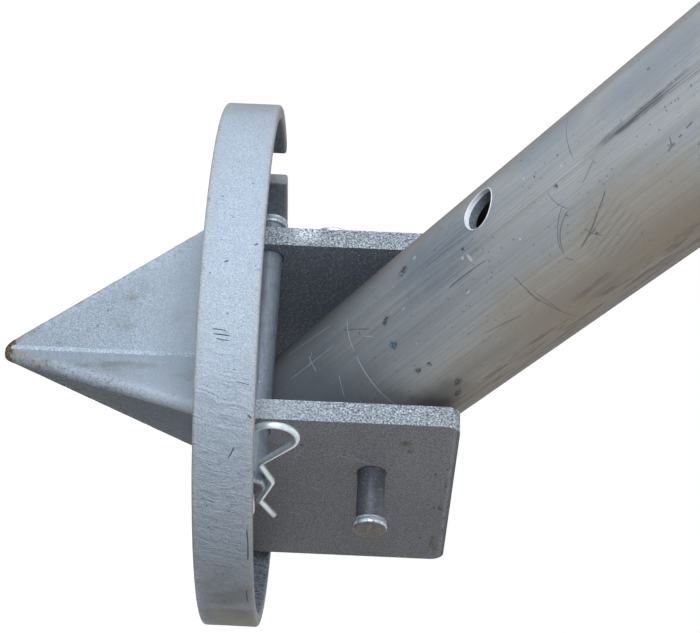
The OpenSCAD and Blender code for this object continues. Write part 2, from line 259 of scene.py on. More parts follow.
LEG_LIGHT = (
    (-2, 39.4, 27.4, 41.2, 0.36, -0.3), (27, 41.3, 76, 40.5, 0.48, 0.2), (32, 22.8, 48, 17, 0.3, 0),
    (4, 0.4, 21, 6, 0.34, 0), (2, 4, 14, 0, 0.3, 0), (-14, -29, -6.4, 25, 0.32, 0.3),
    (11, -22, 11.8, 28, 0.26, 0), (24, 89.4, 24.2, 86.6, 0.5, 0), (42, 135, 42.8, 132, 0.5, 0),
    (56, 25, 62, 22, 0.3, 0), (22, 52, 28, 60, 0.26, 0.6))
LEG_BLOTS = (
    (-1.5, 92.5, 2.6, 3.6, 20), (22.8, 72, 1.6, 3.4, 30), (63.5, 72.2, 1.4, 2.2, 0),
    (64.5, 81, 1, 1.6, 0), (88, 81.6, 1.8, 3.6, 20), (61, 217, 0.5, 0.8, 0),
    (23.9, 212.5, 1.1, 1.4, 0), (-2, 282.5, 1, 1, 0), (17.2, 142, 1, 1.2, 0),
    (97, 72, 1.6, 5, 30))


def blasted(t, tone, grain=1, contrast=1, brown=0.12):
    """Paints shot-blasted steel. Returns its roughness and height."""
    g = t.noise(0.9 / grain, 2, 0.5)
    fine = t.noise(1.5 / grain, 1, 0.5)
    patch = t.noise(0.035, 4, 0.6)
    cloud = t.noise(0.11, 4, 0.6, seed=3)
    t.col = t.mix(t.step(g, 0.36, 0.64), tint(tone, 1 - 0.11 * contrast), tint(tone, 1 + 0.1 * contrast))
    t.paint(t.step(fine, 0.52, 0.66, 0, 0.6 * contrast), tint(tone, 1.45))
    t.paint(t.step(fine, 0.34, 0.48, 0.6 * contrast, 0), tint(tone, 0.52))
    t.paint(t.step(cloud, 0.35, 0.7, 0, 0.25), tint(tone, 0.84))
    t.paint(t.step(patch, 0.52, 0.72, 0, brown), WARM)
    rough = t.step(g, 0.3, 0.7, 0.66, 0.52)
    return rough, t.plus(g, t.by(fine, 0.6))


def weld_material(bright=False):
    t = Tree("valley_weld_metal" if bright else "weld_metal")
    # bright paints the valley beads lighter, as a painted highlight along each valley
    rough, height = blasted(t, (0.55, 0.61, 0.67) if bright else (0.33, 0.37, 0.42), 1.1, 1.3, 0.1)
    t.paint(t.step(t.noise(0.35, 3), 0.5, 0.7, 0, 0.15 if bright else 0.4), (0.13, 0.14, 0.16))
    return t.finish(rough, height, 0.5)


def rim_material():
    t = Tree("rim_steel")
    rough, height = blasted(t, (0.47, 0.52, 0.585), 0.9, 0.85, 0.05)
    edge = t.attr("edge")
    radius = t.away(t.x, t.y)
    outer = t.step(radius, 143, 144.3)
    # Grinding marks across the bar, from the leg's side round to the near side
    u = t.by(t.m("ARCTAN2", t.y, t.x), RIM_R)
    rag = t.noise(0.045, 3)
    ground = t.by(t.band(t.plus(u, t.sway(rag, 60)), 40, 95, 330, 380), outer)
    sway = t.sway(t.noise(0.055, 2, seed=21), 9)
    at = t.xyz(t.plus(t.less(u, t.by(t.z, 0.24)), sway), t.by(t.z, 0.045), t.by(rag, 2))
    lines, fine = t.noise(0.92, 2, 0.55, at=at), t.noise(1.5, 2, 0.6, at=at)
    breaks = t.step(t.noise(0.22, 3, seed=22), 0.36, 0.6, 0.25, 1)
    strong = t.by(ground, breaks)
    t.paint(t.by(strong, t.step(lines, 0.53, 0.64, 0, 0.46)), (0.64, 0.71, 0.79))
    t.paint(t.by(strong, t.step(lines, 0.35, 0.46, 0.4, 0)), (0.2, 0.225, 0.26))
    t.paint(t.by(ground, t.step(fine, 0.54, 0.68, 0, 0.3)), (0.6, 0.66, 0.73))
    # Handling dirt, heavier towards the back of the ring
    soil = t.step(t.plus(u, t.by(t.noise(0.04, 4, seed=5), 50)), 92, 160)
    t.paint(soil, (0.2, 0.215, 0.235), 0.4)
    # Darker over one arc of the ring
    darkened = t.step(t.plus(u, t.by(t.noise(0.05, 3, seed=24), 40)), -120, -30, 0.85, 0)
    t.paint(darkened, (0.24, 0.25, 0.265))
    far = t.by(outer, t.step(u, 175, 225))
    muddy = t.step(t.noise(0.07, 4, seed=8), 0.42, 0.62, 0, 0.52)
    t.paint(t.by(far, muddy), (0.22, 0.2, 0.17))
    tan_at = t.plus(u, t.sway(t.noise(0.12, 3, seed=26), 16))
    brown = t.by(outer, t.step(tan_at, 234, 239), t.step(t.z, 6, 16, 0.25, 0.6))
    t.paint(brown, (0.31, 0.275, 0.2))
    fringe = t.band(tan_at, 230, 234, 235, 239)
    t.paint(t.by(fringe, outer), (0.52, 0.54, 0.54), 0.35)
    # Bare, slightly brown corners
    worn = t.by(edge, t.step(t.noise(0.35, 3, seed=4), 0.32, 0.55, 0.35, 1))
    t.paint(worn, (0.47, 0.455, 0.43), 0.45)
    frost = t.by(far, edge, t.step(t.z, 8, 12, 0.8, 0))
    t.paint(t.by(frost, t.step(t.noise(0.5, 3, seed=27), 0.42, 0.56)), (0.66, 0.72, 0.8))
    nibble = t.step(t.noise(0.8, 3, seed=6), 0.56, 0.68, 0, 0.35)
    t.paint(t.by(edge, nibble), (0.17, 0.15, 0.135))
    # Weld spatter and scale on the inside, thickest beside the near ear; the whole inside is also darkened as
    # painted shade
    inside = t.step(radius, 137.6, 138.4, 1, 0)
    crust = t.noise(0.42, 4, 0.65, seed=23)
    inside_scale_and_shade = t.by(inside, t.step(u, 120, 200, 0.35, 1))
    # Painted shade: the inside darkened, most beside the near ear
    t.paint(inside_scale_and_shade, (0.15, 0.18, 0.225), 0.5)
    t.paint(t.by(inside_scale_and_shade, t.step(crust, 0.5, 0.6, 0, 0.75)), (0.4, 0.49, 0.6))
    sparks = t.by(t.step(t.noise(1.2, 2, seed=25), 0.6, 0.68), t.step(u, 130, 160, 0, 0.75))
    t.paint(t.by(inside_scale_and_shade, sparks), (0.82, 0.9, 1))
    t.paint(t.by(inside_scale_and_shade, t.step(crust, 0.38, 0.48, 0.85, 0)), (0.1, 0.115, 0.14))
    # Gouges, one long scratch and small nicks
    mark = t.by(t.scratches(u, t.z, RIM_NICKS), outer)
    t.paint(mark, (0.07, 0.075, 0.09), 0.85)
    t.paint(t.specks(0.13, 0.05, 0.075), (0.09, 0.09, 0.1), 0.7)
    height = t.plus(t.by(height, 0.7), t.by(lines, strong, 1.5))
    height = t.less(height, t.by(mark, 1.5))
    height = t.plus(height, t.by(inside_scale_and_shade, crust, 5))
    return t.finish(rough, height, 0.42)


def spike_material():
    t = Tree("spike_steel")
    rough, height = blasted(t, (0.425, 0.47, 0.525), 0.95, 1.15, 0.12)
    edge = t.attr("edge")
    t.paint(t.by(edge, t.step(t.noise(0.7, 3, seed=2), 0.38, 0.6, 0.1, 0.7)), (0.6, 0.65, 0.71))
    t.paint(t.by(edge, t.step(t.noise(0.55, 3, seed=31), 0.3, 0.44, 0.75, 0)), (0.16, 0.165, 0.18))
    pits = t.specks(0.09, 0.05, 0.08)
    t.paint(pits, (0.1, 0.09, 0.09), 0.75)
    stain = t.step(t.noise(0.045, 4, 0.55, seed=11), 0.54, 0.7)
    t.paint(stain, (0.24, 0.22, 0.2), 0.6)
    # Painted light: the blades lighter towards the ring, where the ring's shadow falls on them
    t.paint(t.step(t.z, -60, -8, 0, 0.55), (0.62, 0.68, 0.75))
    near_tip = t.plus(t.z, t.sway(t.noise(0.22, 4, seed=7), 9))
    rust = t.step(near_tip, -115.6, -113.6, 1, 0)
    haze = t.step(near_tip, -114, -80, 0.55, 0)
    mottle = t.step(t.noise(0.75, 4, 0.7, seed=9), 0.42, 0.6)
    rust_col = t.mix(mottle, (0.04, 0.026, 0.016), (0.33, 0.23, 0.125))
    low = t.by(haze, edge, t.step(t.noise(0.12, 3, seed=13), 0.3, 0.6))
    t.paint(low, (0.3, 0.23, 0.15))
    t.paint(rust, rust_col)
    height = t.plus(height, t.by(rust, t.noise(0.6, 3, seed=3), 6))
    height = t.plus(height, t.by(edge, t.noise(0.5, 3, seed=32), 0.9))
    height = t.less(height, pits)
    return t.finish(rough, height, 0.45)


def plate_material(far):
    """The two broad faces of an ear. far is True on the -Y ear."""
    t = Tree("far_plate_steel" if far else "near_plate_steel")
    tone = (0.235, 0.245, 0.28) if far else (0.325, 0.327, 0.345)
    rough, height = blasted(t, tone, 0.95, 1 if far else 1.8, 0.15 if far else 0.28)
    x, z = t.x, t.z
    # Fine pale scratches in several directions
    hairs = 0
    for k, turn in enumerate((18, -35, 68, 5)):
        along, across = t.turned(x, z, cos(radians(turn)), sin(radians(turn)))
        at = t.xyz(t.by(along, 0.06), across, float(k * 7))
        hair = t.step(t.noise(0.9, 1, 0.4, at=at), 0.72, 0.76)
        hairs = t.m("MAXIMUM", hairs, t.by(hair, t.step(t.noise(0.07, 2, seed=20 + k), 0.56, 0.66)))
    t.paint(hairs, tint(tone, 1.9), 0.45)
    if far:
        # Painted glints on the blasted pits, drawn out along the sweep of the leg
        at = t.xyz(t.plus(x, z), t.by(t.less(x, z), 0.45), 0)
        painted_glint = t.step(t.noise(1, 2, 0.5, at=at, seed=40), 0.6, 0.66)
        t.paint(painted_glint, (0.76, 0.81, 0.9), 0.8)
        hollow = t.step(t.noise(0.62, 2, 0.5, at=at, seed=41), 0.36, 0.46, 0.55, 0)
        t.paint(hollow, tint(tone, 0.55))
    else:
        t.paint(t.step(x, -70, 10, 0.36, 0), tint(tone, 0.45))
        t.paint(t.scratches(x, z, EAR_SCRATCHES), (0.56, 0.58, 0.6), 0.7)
        rusty = t.gather(t.blob(x, z, (a, b), (c, d), lean, 0.55, 0.6) for a, b, c, d, lean in EAR_RUST)
        flaky = t.by(rusty, t.step(t.noise(1, 3, 0.6, seed=42), 0.38, 0.52))
        t.paint(flaky, (0.13, 0.1, 0.055), 0.9)
        dots = t.gather(t.blob(x, z, at, (1.1, 0.8), 0, 0.3, 0.9) for at in EAR_SPECKS)
        t.paint(dots, (0.05, 0.045, 0.04), 0.85)
    # Painted shade in the gap round each pin
    for cx, cz in (PIVOT, STOP):
        away = t.away(t.less(x, cx), t.less(z, cz))
        t.paint(t.step(away, PIN_HOLE_R + 0.5, PIN_HOLE_R + 0.85, 0.95, 0), (0.02, 0.02, 0.022))
    height = t.less(height, t.by(hairs, 0.4))
    if not far:
        lip = t.band(z, 129, 130.2, 130.8, 131.8)
        lip = t.by(lip, t.step(t.noise(0.25, 3, seed=44), 0.4, 0.58, 0.15, 0.55))
        t.paint(lip, (0.52, 0.54, 0.57))
        # Painted shade along the top edge of the face
        t.paint(t.step(z, 131.2, 132.4, 0, 0.45), (0.1, 0.1, 0.105))
        grit = t.noise(0.8, 3, 0.65, seed=45)
        t.paint(t.step(grit, 0.52, 0.66, 0, 0.42), tint(tone, 1.55))
        t.paint(t.step(grit, 0.34, 0.48, 0.45, 0), tint(tone, 0.5))
        # Pale crests of the blasted grain
        crest = t.step(t.noise(1.15, 2, 0.6, seed=43), 0.58, 0.68, 0, 0.3)
        t.paint(crest, (0.62, 0.64, 0.68))
    return t.finish(rough, height, 0.9 if far else 0.85)


def cut_edge_material():
    """The coarse, bright edges of the ears where they were cut and blasted."""
    t = Tree("cut_edge_steel")
    rough, height = blasted(t, (0.37, 0.395, 0.425), 1.3, 1.5, 0.08)
    crust = t.noise(0.92, 2, 0.6, seed=14)
    t.paint(t.step(crust, 0.54, 0.63, 0, 0.85), (0.8, 0.84, 0.88))
    t.paint(t.step(crust, 0.36, 0.46, 0.9, 0), (0.09, 0.095, 0.11))
    # Painted light on the near ear's edges close to the ring, where the ring's shadow falls
    painted_light_near_ring = t.by(t.step(t.z, 25, 80, 0.35, 0), t.step(t.y, 40, 50))
    t.paint(painted_light_near_ring, (0.66, 0.7, 0.74))
    wave = t.noise(0.22, 3, 0.6, seed=16)
    t.paint(t.step(wave, 0.52, 0.68, 0, 0.22), (0.7, 0.74, 0.78))
    t.paint(t.step(wave, 0.32, 0.46, 0.22, 0), (0.15, 0.155, 0.17))
    # A patch of bare metal on the far ear, with a near-white painted glint on it
    bare_patch_and_glint = t.blob(t.x, t.z, (46, 46.5), (60, 7), 0, 0.4, 0.3)
    bare_patch_and_glint = t.by(bare_patch_and_glint, t.step(t.y, -52, -56), t.step(t.noise(0.9, 2, seed=15), 0.46, 0.56))
    t.paint(t.by(bare_patch_and_glint, t.step(t.x, 44, 45.5)), (0.94, 0.96, 0.98))
    height = t.plus(height, t.by(crust, 2.2))
    return t.finish(rough, height, 0.65)


def disc_material():
    t = Tree("disc_steel")
    rough, height = blasted(t, (0.3, 0.32, 0.35), 1, 1, 0.2)
    t.paint(t.step(t.noise(0.06, 4, seed=2), 0.45, 0.7, 0, 0.4), (0.17, 0.16, 0.15))
    return t.finish(rough, height, 0.3)


def pin_material(name, tone, end_low, end_high):
    """Dark drawn bar with a worn, upset head. The pin's own Z runs from its head to its end."""
    t = Tree(name)
    draw = t.noise(1.3, 3, 0.6, along=0.05)
    t.col = t.mix(t.step(draw, 0.3, 0.7), tint(tone, 0.88), tint(tone, 1.12))
    pale = t.noise(1.2, 3, 0.6, along=0.6, seed=2)
    t.paint(t.step(pale, 0.55, 0.68, 0, 0.4), (0.33, 0.37, 0.42))
    t.paint(t.step(t.noise(0.16, 3, seed=5), 0.5, 0.7, 0, 0.35), tint(tone, 0.55))
    t.paint(t.specks(0.2, 0.06, 0.09), (0.55, 0.6, 0.64), 0.7)
    edge = t.attr("edge")
    head = t.step(t.z, -0.2, 0.4, 1, 0)
    mottle = t.noise(0.8, 3, 0.6, seed=13)
    t.paint(t.by(head, t.step(mottle, 0.4, 0.62, 0.25, 0.85)), (0.4, 0.44, 0.49))
    # The head's rims and the end's corner: wear, lightened further as a painted highlight
    worn = t.by(edge, t.step(t.noise(0.7, 3, seed=6), 0.36, 0.6, 0.1, 1))
    t.paint(worn, (0.7, 0.75, 0.8), 0.9)
    face = t.attr("face")
    face_col = t.mix(t.step(t.noise(0.55, 4, 0.6, seed=8), 0.35, 0.68), end_low, end_high)
    t.paint(face, face_col, 0.85)
    spots = t.step(t.noise(0.6, 3, seed=12), 0.64, 0.7)
    t.paint(t.by(t.m("MAXIMUM", edge, face), t.by(spots, 0.75)), (0.07, 0.05, 0.04))
    rough = t.step(t.noise(0.8, 3, seed=1), 0.3, 0.7, 0.34, 0.55)
    height = t.plus(t.by(draw, 0.4), t.by(t.noise(2, 3), 0.7))
    return t.finish(rough, height, 0.12, metallic=0.35)


def zinc_material():
    t = Tree("zinc_wire")
    n = t.noise(0.35, 3)
    t.col = t.mix(t.step(n, 0.35, 0.65), (0.63, 0.7, 0.73), (0.73, 0.8, 0.83))
    t.paint(t.step(t.noise(0.6, 3, seed=3), 0.6, 0.74, 0, 0.2), (0.36, 0.4, 0.42))
    rough = t.step(t.noise(0.3, 2, seed=2), 0.3, 0.7, 0.3, 0.38)
    return t.finish(rough, n, 0.005, metallic=0.6)


LEG_DEGREE = 0.7758  # millimetres round the leg's outside for one degree


def tube_material(inner=False):
    """Mill-finish extruded tube. Its own Z runs along it; angles are about that axis."""
    t = Tree("inner_aluminium" if inner else "leg_aluminium")
    lines = t.noise(0.55, 4, 0.7, along=0.004)
    fine = t.noise(1.5, 3, 0.7, along=0.008, seed=2)
    broad = t.noise(0.09, 3, 0.5, along=0.03, seed=4)
    cloud = t.noise(0.022, 4, 0.6, along=0.5, seed=6)
    tone = (0.45, 0.45, 0.435)
    t.col = t.mix(t.step(lines, 0.34, 0.66), tint(tone, 0.84), tint(tone, 1.1))
    t.paint(t.step(fine, 0.54, 0.68, 0, 0.45), tint(tone, 1.35))
    t.paint(t.step(fine, 0.31, 0.45, 0.5, 0), tint(tone, 0.55))
    dash = t.noise(1.7, 3, 0.65, along=0.1, seed=8)
    t.paint(t.step(dash, 0.6, 0.7, 0, 0.35), tint(tone, 1.4))
    t.paint(t.step(dash, 0.3, 0.4, 0.45, 0), tint(tone, 0.45))
    t.paint(t.step(broad, 0.4, 0.66, 0, 0.4), (0.31, 0.345, 0.39))
    t.paint(t.step(cloud, 0.46, 0.7, 0, 0.3), (0.3, 0.275, 0.24))
    rough = t.step(lines, 0.3, 0.7, 0.46, 0.6)
    height = t.plus(lines, t.by(fine, 0.6))
    dense = t.step(t.noise(0.03, 2, seed=9), 0.42, 0.62, 0.15, 1)
    specks = t.by(t.specks(0.12, 0.06, 0.09), dense)
    small = t.specks(0.2, 0.08, 0.12, (31, 7, 3))
    pale = t.specks(0.07, 0.03, 0.05, (5, 61, 23))
    t.paint(specks, (0.05, 0.05, 0.05), 0.85)
    t.paint(small, (0.11, 0.11, 0.11), 0.6)
    t.paint(pale, (0.7, 0.73, 0.76), 0.7)
    if not inner:
        height = leg_marks(t, height)
    # Painted shade darkening the tube towards its outline
    painted_outline_shade = t.add("LayerWeight", {"Blend": 0.5}).outputs["Facing"]
    t.paint(t.step(painted_outline_shade, 0.58, 0.96, 0, 0.88), (0.1, 0.092, 0.082))
    return t.finish(rough, height, 0.09, metallic=0.22)


def leg_marks(t, height):
    """Stains, streaks and scratches of the used leg, by angle round it and length along it."""
    turn = t.by(t.m("ARCTAN2", t.y, t.x), degrees(1))
    u, s = t.by(turn, LEG_DEGREE), t.z

    def patch(at, radii, lean=0, rag=0.5, scale=0.1, edge=0.45):
        return t.blob(u, s, (at[0] * LEG_DEGREE, at[1]), radii, lean, rag, scale, edge)

    # Warm grime along the underside and round the middle
    grime = t.band(turn, 58, 100, 150, 178)
    grime = t.by(grime, t.step(t.noise(0.03, 4, along=0.25, seed=15), 0.28, 0.56))
    t.paint(grime, (0.31, 0.25, 0.175), 0.62)
    tan_stain = t.gather((patch((72, 236), (22, 44)), patch((78, 168), (18, 40))))
    t.paint(tan_stain, (0.38, 0.315, 0.23), 0.48)
    jag = t.band(turn, 92, 101, 118, 128)
    jag = t.by(jag, t.step(t.noise(0.35, 4, 0.7, along=0.09, seed=33), 0.5, 0.6))
    t.paint(jag, (0.1, 0.09, 0.08), 0.6)
    # Blue-grey wipes below the lock hole and up the leg
    wipe = t.gather((patch((8, 122), (17, 34)), patch((-2, 290), (14, 40)), patch((-12, 210), (8, 30))))
    t.paint(wipe, (0.235, 0.275, 0.33), 0.48)
    streaks = t.by(patch((12, 132), (16, 26)),
                   t.step(t.noise(0.9, 3, 0.6, along=0.02, seed=34), 0.52, 0.62))
    t.paint(streaks, (0.11, 0.135, 0.165), 0.4)
    # Painted shade on the leg's lower end, between the ears
    shade = t.step(t.plus(s, t.by(t.noise(0.03, 3, seed=16), 40)), 20, 95, 0.74, 0)
    t.paint(shade, (0.2, 0.215, 0.235))
    # Dark streaks low on the leg, and a painted shadow of the near ear on the patch at 96 degrees, 64 mm
    low = t.gather((patch((89, 196), (1.9, 7.5), scale=0.3), patch((89.5, 182), (2.1, 8), scale=0.3)))
    low = t.by(low, t.step(t.noise(1.1, 3, 0.6, along=0.05, seed=36), 0.4, 0.56, 0.35, 1))
    low = t.gather((low, t.by(patch((96, 64), (14, 22)), 0.8)))
    t.paint(low, (0.15, 0.15, 0.155), 0.55)
    # The long dark rub
    rub = t.gather((patch((20.2, 270), (2, 27), rag=0.45, scale=0.16),
                    t.by(patch((20.4, 302), (2.6, 18), rag=0.6, scale=0.16), 0.6)))
    rub = t.by(rub, t.step(t.noise(1.2, 3, along=0.02, seed=17), 0.34, 0.56))
    t.paint(rub, (0.085, 0.09, 0.1), 0.9)
    # A patch of coarse parallel file marks
    hatch = patch((66, 224), (13, 17), 12, 0.25, 0.2, 0.25)
    teeth = t.step(t.m("SINE", t.plus(t.by(u, 1.9), t.by(s, 0.45))), 0.1, 0.9)
    t.paint(t.by(hatch, teeth), (0.16, 0.155, 0.15), 0.22)
    dark = t.scratches(u, s, LEG_DARK, LEG_DEGREE)
    t.paint(dark, (0.09, 0.09, 0.095), 0.6)
    light = t.scratches(u, s, LEG_LIGHT, LEG_DEGREE)
    tick = patch((25.2, 144.6), (2.6, 0.9), 22, 0.25, 0.6, 0.25)
    tick = t.gather((tick, patch((-5.3, 102.3), (0.9, 1.2)), patch((22, 140), (1, 1))))
    t.paint(t.gather((tick, light)), (0.66, 0.7, 0.74), 0.78)
    blots = t.gather(patch((a, b), (c, d), lean, 0.6, 0.5) for a, b, c, d, lean in LEG_BLOTS)
    blots = t.by(blots, t.step(t.noise(0.8, 3, seed=19), 0.38, 0.54))
    t.paint(blots, (0.055, 0.06, 0.07), 0.88)
    ink = t.by(patch((39.7, 70), (2.3, 2.6), 0, 0.6, 0.5), t.step(t.noise(0.7, 3, seed=35), 0.38, 0.5))
    t.paint(ink, (0.03, 0.13, 0.22), 0.85)
    return t.less(height, t.by(t.gather((dark, light)), 1.2))


def machined_material(darkened=False):
    """Cut faces of the tubes: hole walls and sawn ends, bright on the leg, and on the inner tube darker as
    painted shade.
    """
    t = Tree("shaded_cut_aluminium" if darkened else "cut_aluminium")
    n = t.noise(0.9, 3, 0.6)
    low = (0.17, 0.19, 0.22) if darkened else (0.86, 0.87, 0.88)
    high = (0.36, 0.41, 0.46) if darkened else (0.97, 0.975, 0.98)
    t.col = t.mix(t.step(n, 0.3, 0.7), low, high)
    t.paint(t.step(t.noise(0.4, 3, seed=3), 0.55, 0.7, 0, 0.4), tint(low, 0.7))
    rough = t.step(n, 0.3, 0.7, 0.3, 0.48)
    return t.finish(rough, n, 0.08, metallic=0.6 if darkened else 0.15)


# Meshes
def shift(x, y, z):
    """A move, in millimetres."""
    return Matrix.Translation(Vector((x, y, z)) * MM)


def rotation(angle, axis, size=4):
    """A turn, in degrees."""
    return Matrix.Rotation(radians(angle), size, axis)


LEG_FRAME = shift(PIVOT[0], 0, PIVOT[1]) @ rotation(LEG_TILT, "Y")


def smooth(me, sharp):
    me.polygons.foreach_set("use_smooth", [True] * len(me.polygons))
    me.set_sharp_from_angle(angle=radians(sharp))
    me.update()


def add_object(name, me, mats, sharp):
    """Puts a finished mesh into the scene."""
    ob = bpy.data.objects.new(name, me)
    scene.collection.objects.link(ob)
    for mat in mats:
        me.materials.append(mat)
    smooth(me, sharp)
    return ob


def mesh(name, verts, faces, mats, sharp=40, matrix=None, attrs=None):
    """An object from vertices in millimetres. attrs are values on its vertices that the material reads."""
    me = bpy.data.meshes.new(name)
    me.from_pydata([tuple(c * MM for c in v) for v in verts], [], faces)
    for key, values in (attrs or {}).items():
        me.attributes.new(key, "FLOAT", "POINT").data.foreach_set("value", values)
    bm = bmesh.new()
    bm.from_mesh(me)
    bmesh.ops.recalc_face_normals(bm, faces=bm.faces)
    bm.to_mesh(me)
    bm.free()
    ob = add_object(name, me, mats, sharp)
    if matrix is not None:
        ob.matrix_world = matrix
    return ob


def loft(rings, closed=False):
    """Vertices and faces that join rings of equally many points, each ring a closed loop."""
    n, k = len(rings[0]), len(rings)
    faces = []
    for i in range(k if closed else k - 1):
        j = (i + 1) % k
        faces += [(i * n + a, i * n + (a + 1) % n, j * n + (a + 1) % n, j * n + a) for a in range(n)]
    if not closed:
        faces += [tuple(range(n)), tuple((k - 1) * n + a for a in range(n))]
    return [p for r in rings for p in r], faces


def circle(r, z, segments):
    turns = [2 * pi * a / segments for a in range(segments)]
    return [(r * cos(a), r * sin(a), z) for a in turns]


def arc(cx, cy, r, a0, a1, steps):
    """Points of an arc from the angle a0 to a1, in degrees."""
    turns = [radians(a0 + (a1 - a0) * i / steps) for i in range(steps + 1)]
    return [(cx + r * cos(a), cy + r * sin(a)) for a in turns]


def rnd(a, b=0.0, c=0.0):
    """Smooth noise from -1 to 1, the same on each run."""
    return noise.noise(Vector((a, b, c)))


def cut(ob, cutters):
    """Subtracts the cutters, removes them and smooths what is left."""
    for c in cutters:
        m = ob.modifiers.new("cut", "BOOLEAN")
        m.operation, m.object, m.solver = "DIFFERENCE", c, "EXACT"
    bpy.context.view_layer.update()
    me = bpy.data.meshes.new_from_object(ob.evaluated_get(bpy.context.evaluated_depsgraph_get()))
    ob.modifiers.clear()
    ob.data = me
    smooth(me, 40)
    for c in cutters:
        bpy.data.objects.remove(c)


def cutter(radius, length, matrix, mats):
    verts, faces = loft([circle(radius, z, 72) for z in (-length / 2, length / 2)])
    return mesh("cutter", verts, faces, mats, matrix=matrix)


def place(ob, body, slot, *nodes):
    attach(ob, body)
    if nodes:
        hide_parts(*nodes)


def section(x0, x1, z0, z1, r, inset):
    """A bar section with rounded corners: its points, and how near each is to a corner, 0 to 1."""
    x0, x1, z0, z1, r = x0 + inset, x1 - inset, z0 + inset, z1 - inset, max(0.15, r - inset)
    corners = ((x1 - r, z0 + r, -90), (x1 - r, z1 - r, 0), (x0 + r, z1 - r, 90), (x0 + r, z0 + r, 180))
    rounds = [arc(cx, cz, r, a0, a0 + 90, 6) for cx, cz, a0 in corners]
    long_steps, short_steps, fade = 8, 3, 1.6
    pts, edge = [], []
    for i, ring in enumerate(rounds):
        pts += ring
        edge += [1.0] * len(ring)
        (x, z), (nx, nz) = ring[-1], rounds[(i + 1) % 4][0]
        side = hypot(nx - x, nz - z)
        steps = short_steps if i % 2 else long_steps
        for k in range(1, steps):
            f = 0.5 - 0.5 * cos(pi * (k / steps))
            pts.append((x + (nx - x) * f, z + (nz - z) * f))
            edge.append(max(0.0, 1.0 - min(f, 1 - f) * side / fade))
    return pts, edge


def rim_bar(mat):
    """The rolled bar, a little uneven and chipped, with rounded ends at its gap."""
    length = 2 * pi * RIM_MID - RIM_GAP
    rows, fade = 420, 2.4
    ends = [RIM_EDGE * (1 - cos(radians(a))) for a in range(0, 91, 18)]
    along = ends + [RIM_EDGE + (length - 2 * RIM_EDGE) * i / rows for i in range(1, rows)]
    along += [length - d for d in reversed(ends)]
    rings, edges = [], []
    for d in along:
        near = min(d, length - d)
        inset = RIM_EDGE - sqrt(RIM_EDGE ** 2 - max(0.0, RIM_EDGE - near) ** 2)
        pts, edge = section(RIM_IN, RIM_R, 0.0, RIM_H, RIM_EDGE, min(inset, RIM_EDGE * 0.98))
        ring = []
        for r, z in pts:
            side = asin(RIM_GAP / 2 / r)
            a = GAP_TURN - pi / 2 + side + (2 * pi - 2 * side) * d / length
            x, y = r * cos(a), r * sin(a)
            out = 1 if r > RIM_MID else -1
            dr = -0.12 * (1 + rnd(x * 0.03, y * 0.03, z * 0.05)) * out
            dz = -0.07 * (1 + rnd(x * 0.05, y * 0.05, 3.0)) * (1 if z > RIM_H / 2 else -1)
            if 1.5 < z < RIM_H - 1.5:
                chip = max(0.0, rnd(x * 0.35, y * 0.35, z * 0.35 + 9.0) - 0.35)
            else:
                chip = max(0.0, rnd(x * 0.22, y * 0.22, z * 0.2) - 0.25) * 1.4
            dr -= 0.22 * chip * out
            ring.append(((r + dr) * cos(a), (r + dr) * sin(a), z + dz))
        rings.append(ring)
        rim = max(0.0, 1.0 - near / fade)
        edges += [max(e, rim) for e in edge]
    verts, faces = loft(rings)
    place(mesh("rim_bar", verts, faces, [mat], 60, attrs={"edge": edges}), "foot", "foot_steel", "ground_rim")


def blade(node, angle, trim, mat):
    """One spike blade, a plate with a full-round outer edge and a blunt tip. It reaches further by trim."""
    half, mitre = BLADE / 2, BLADE / 2 / tan(radians(60))
    point = POINT_R - SPIKE
    levels = [DISC_LOW, 2.0, 0.0] + [-SPIKE * i / 60 for i in range(1, 58)]
    levels += [point - d for d in (0.0, 1.2, 2.4, 3.4, 4.2, 4.7, 4.95)]
    rings, edges = [], []
    for z in levels:
        blunt = POINT_R - sqrt(POINT_R ** 2 - max(0.0, point - z) ** 2)
        reach = REACH + (TIP - REACH) * max(0.0, -z / SPIKE)
        reach = max(1.3, reach + trim - blunt * 0.45 - 0.25 * (1 + rnd(z * 0.2, angle)))
        side = half - min(blunt * 0.55, 2.6)
        start = mitre * side / half
        depth = min(4.0, max(0.5, reach - start - 0.3))
        flat = reach - depth
        runs = [start + (flat - start) * k / 6 for k in range(7)]
        fades = [max(0.0, 1 - (flat - r) / 0.8) for r in runs]
        nose = []
        for i in range(1, 14):
            a = radians(90 - 180 * i / 14)
            wobble = 0.22 * rnd(z * 0.5, i * 0.8, angle)
            nose.append((flat + (depth + wobble - 0.22) * cos(a), side * sin(a)))
        ring = [(0.0, 0.0)] + [(r, side) for r in runs] + nose + [(r, -side) for r in reversed(runs)]
        rings.append([(r, t, z) for r, t in ring])
        edges += [0.0] + fades + [1.0] * len(nose) + fades[::-1]
    verts, faces = loft(rings)
    m = rotation(angle, "Z")
    verts = [tuple(m @ Vector(v)) for v in verts]
    ob = mesh(node + "_plate", verts, faces, [mat], 32, attrs={"edge": edges})
    place(ob, "foot", "foot_steel", node)


